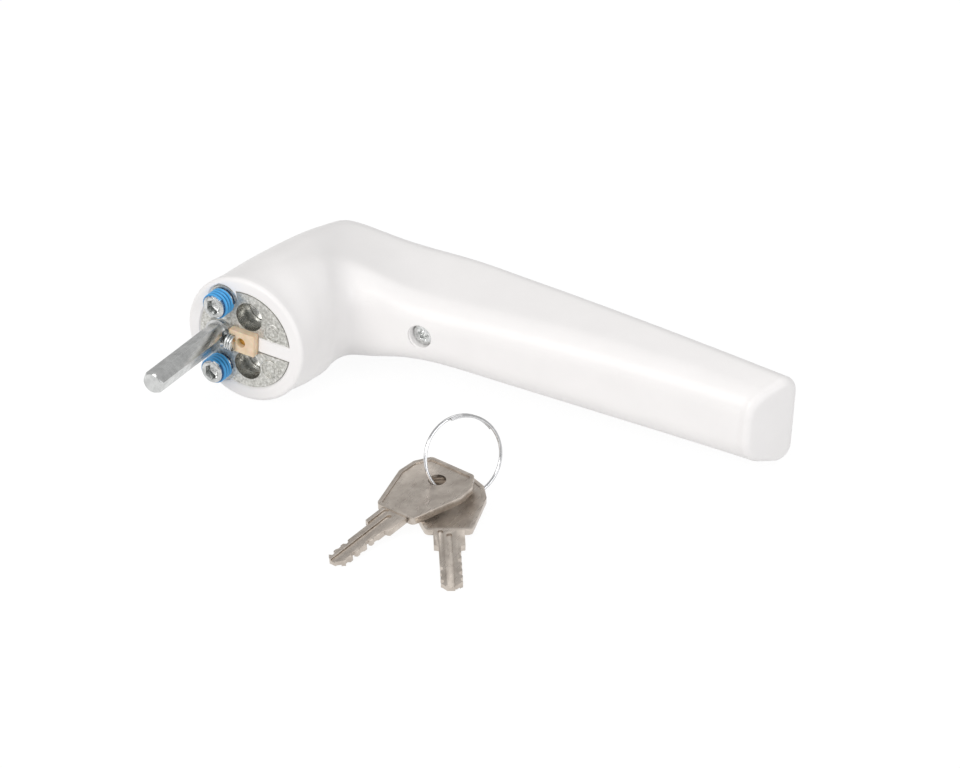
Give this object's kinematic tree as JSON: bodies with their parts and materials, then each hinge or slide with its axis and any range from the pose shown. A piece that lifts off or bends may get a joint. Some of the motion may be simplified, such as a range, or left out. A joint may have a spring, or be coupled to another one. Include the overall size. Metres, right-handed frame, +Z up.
{
  "type": "locking window handle",
  "caption": "Locking window handle with a hexagonal spindle, threaded stop screws, a sprung lock pin worked by a key cam, and two keys on a split ring.",
  "frame": {"origin": "on the spindle axis, in the plane of the base rim that lies against the window frame", "axes": "+X along the lever, -Y along the spindle towards the window, +Z up from the table that the handle lies on"},
  "size_m": [0.1684, 0.1218, 0.039],
  "materials": {
    "white_shell": "smooth white, semi-gloss",
    "cast_zinc": "as cast, slightly grainy",
    "bright_steel": "drawn bar, bright",
    "locking_screw": "bright with a blue thread patch",
    "nylon": "natural cream",
    "brass": "turned",
    "lock_metal": "plated",
    "nickel_key": "nickel plated, satin",
    "ring_steel": "bright wire"
  },
  "bodies": {
    "handle": {"handle_shell": "white_shell", "neck_core": "cast_zinc", "lever_core": "cast_zinc", "spindle": "bright_steel", "spindle_clamp_screw": "bright_steel", "stop_screw_upper": "locking_screw", "stop_screw_lower": "locking_screw", "core_screw_upper": "bright_steel", "core_screw_lower": "bright_steel", "pin_guide": "nylon", "body_screw": "bright_steel", "lock_housing": "lock_metal", "pin_spring": "bright_steel"},
    "plug": {"key_plug": "lock_metal", "plug_clip": "bright_steel", "plug_cam": "lock_metal", "wafer_1": "brass", "wafer_2": "brass", "wafer_3": "brass", "wafer_4": "brass", "wafer_5": "brass"},
    "pin": {"lock_pin": "brass"},
    "ring": {"key_ring": "ring_steel"},
    "key_a": {"key_1": "nickel_key"},
    "key_b": {"key_2": "nickel_key"}
  },
  "joints": [
    {"name": "plug_turn", "type": "hinge", "parent": "handle", "child": "plug", "pos_m": [0.01529, 0.0606, -0.00045], "axis": [0, 1, 0], "range_deg": [0, 90]},
    {"name": "pin_slide", "type": "slide", "parent": "handle", "child": "pin", "axis": [0, -1, 0], "range_m": [0, 0.0055], "deforming": ["pin_spring"]},
    {"name": "ring_lift", "type": "slide", "parent": "handle", "child": "ring", "axis": [0, 0, 1], "range_m": [0, 0.06]},
    {"name": "key_1_swing", "type": "hinge", "parent": "ring", "child": "key_a", "pos_m": [0.08309, -0.01834, -0.01436], "axis": [-0.55, -0.3076, 0.7764], "range_deg": [0, 10]},
    {"name": "key_2_swing", "type": "hinge", "parent": "ring", "child": "key_b", "pos_m": [0.08544, -0.01657, -0.01704], "axis": [0.6135, 0.5648, -0.5519], "range_deg": [0, 4]}
  ],
  "couplings": [
    {"joint": "pin_slide", "follows": "plug_turn", "m_per_rad": 0.0035014}
  ]
}
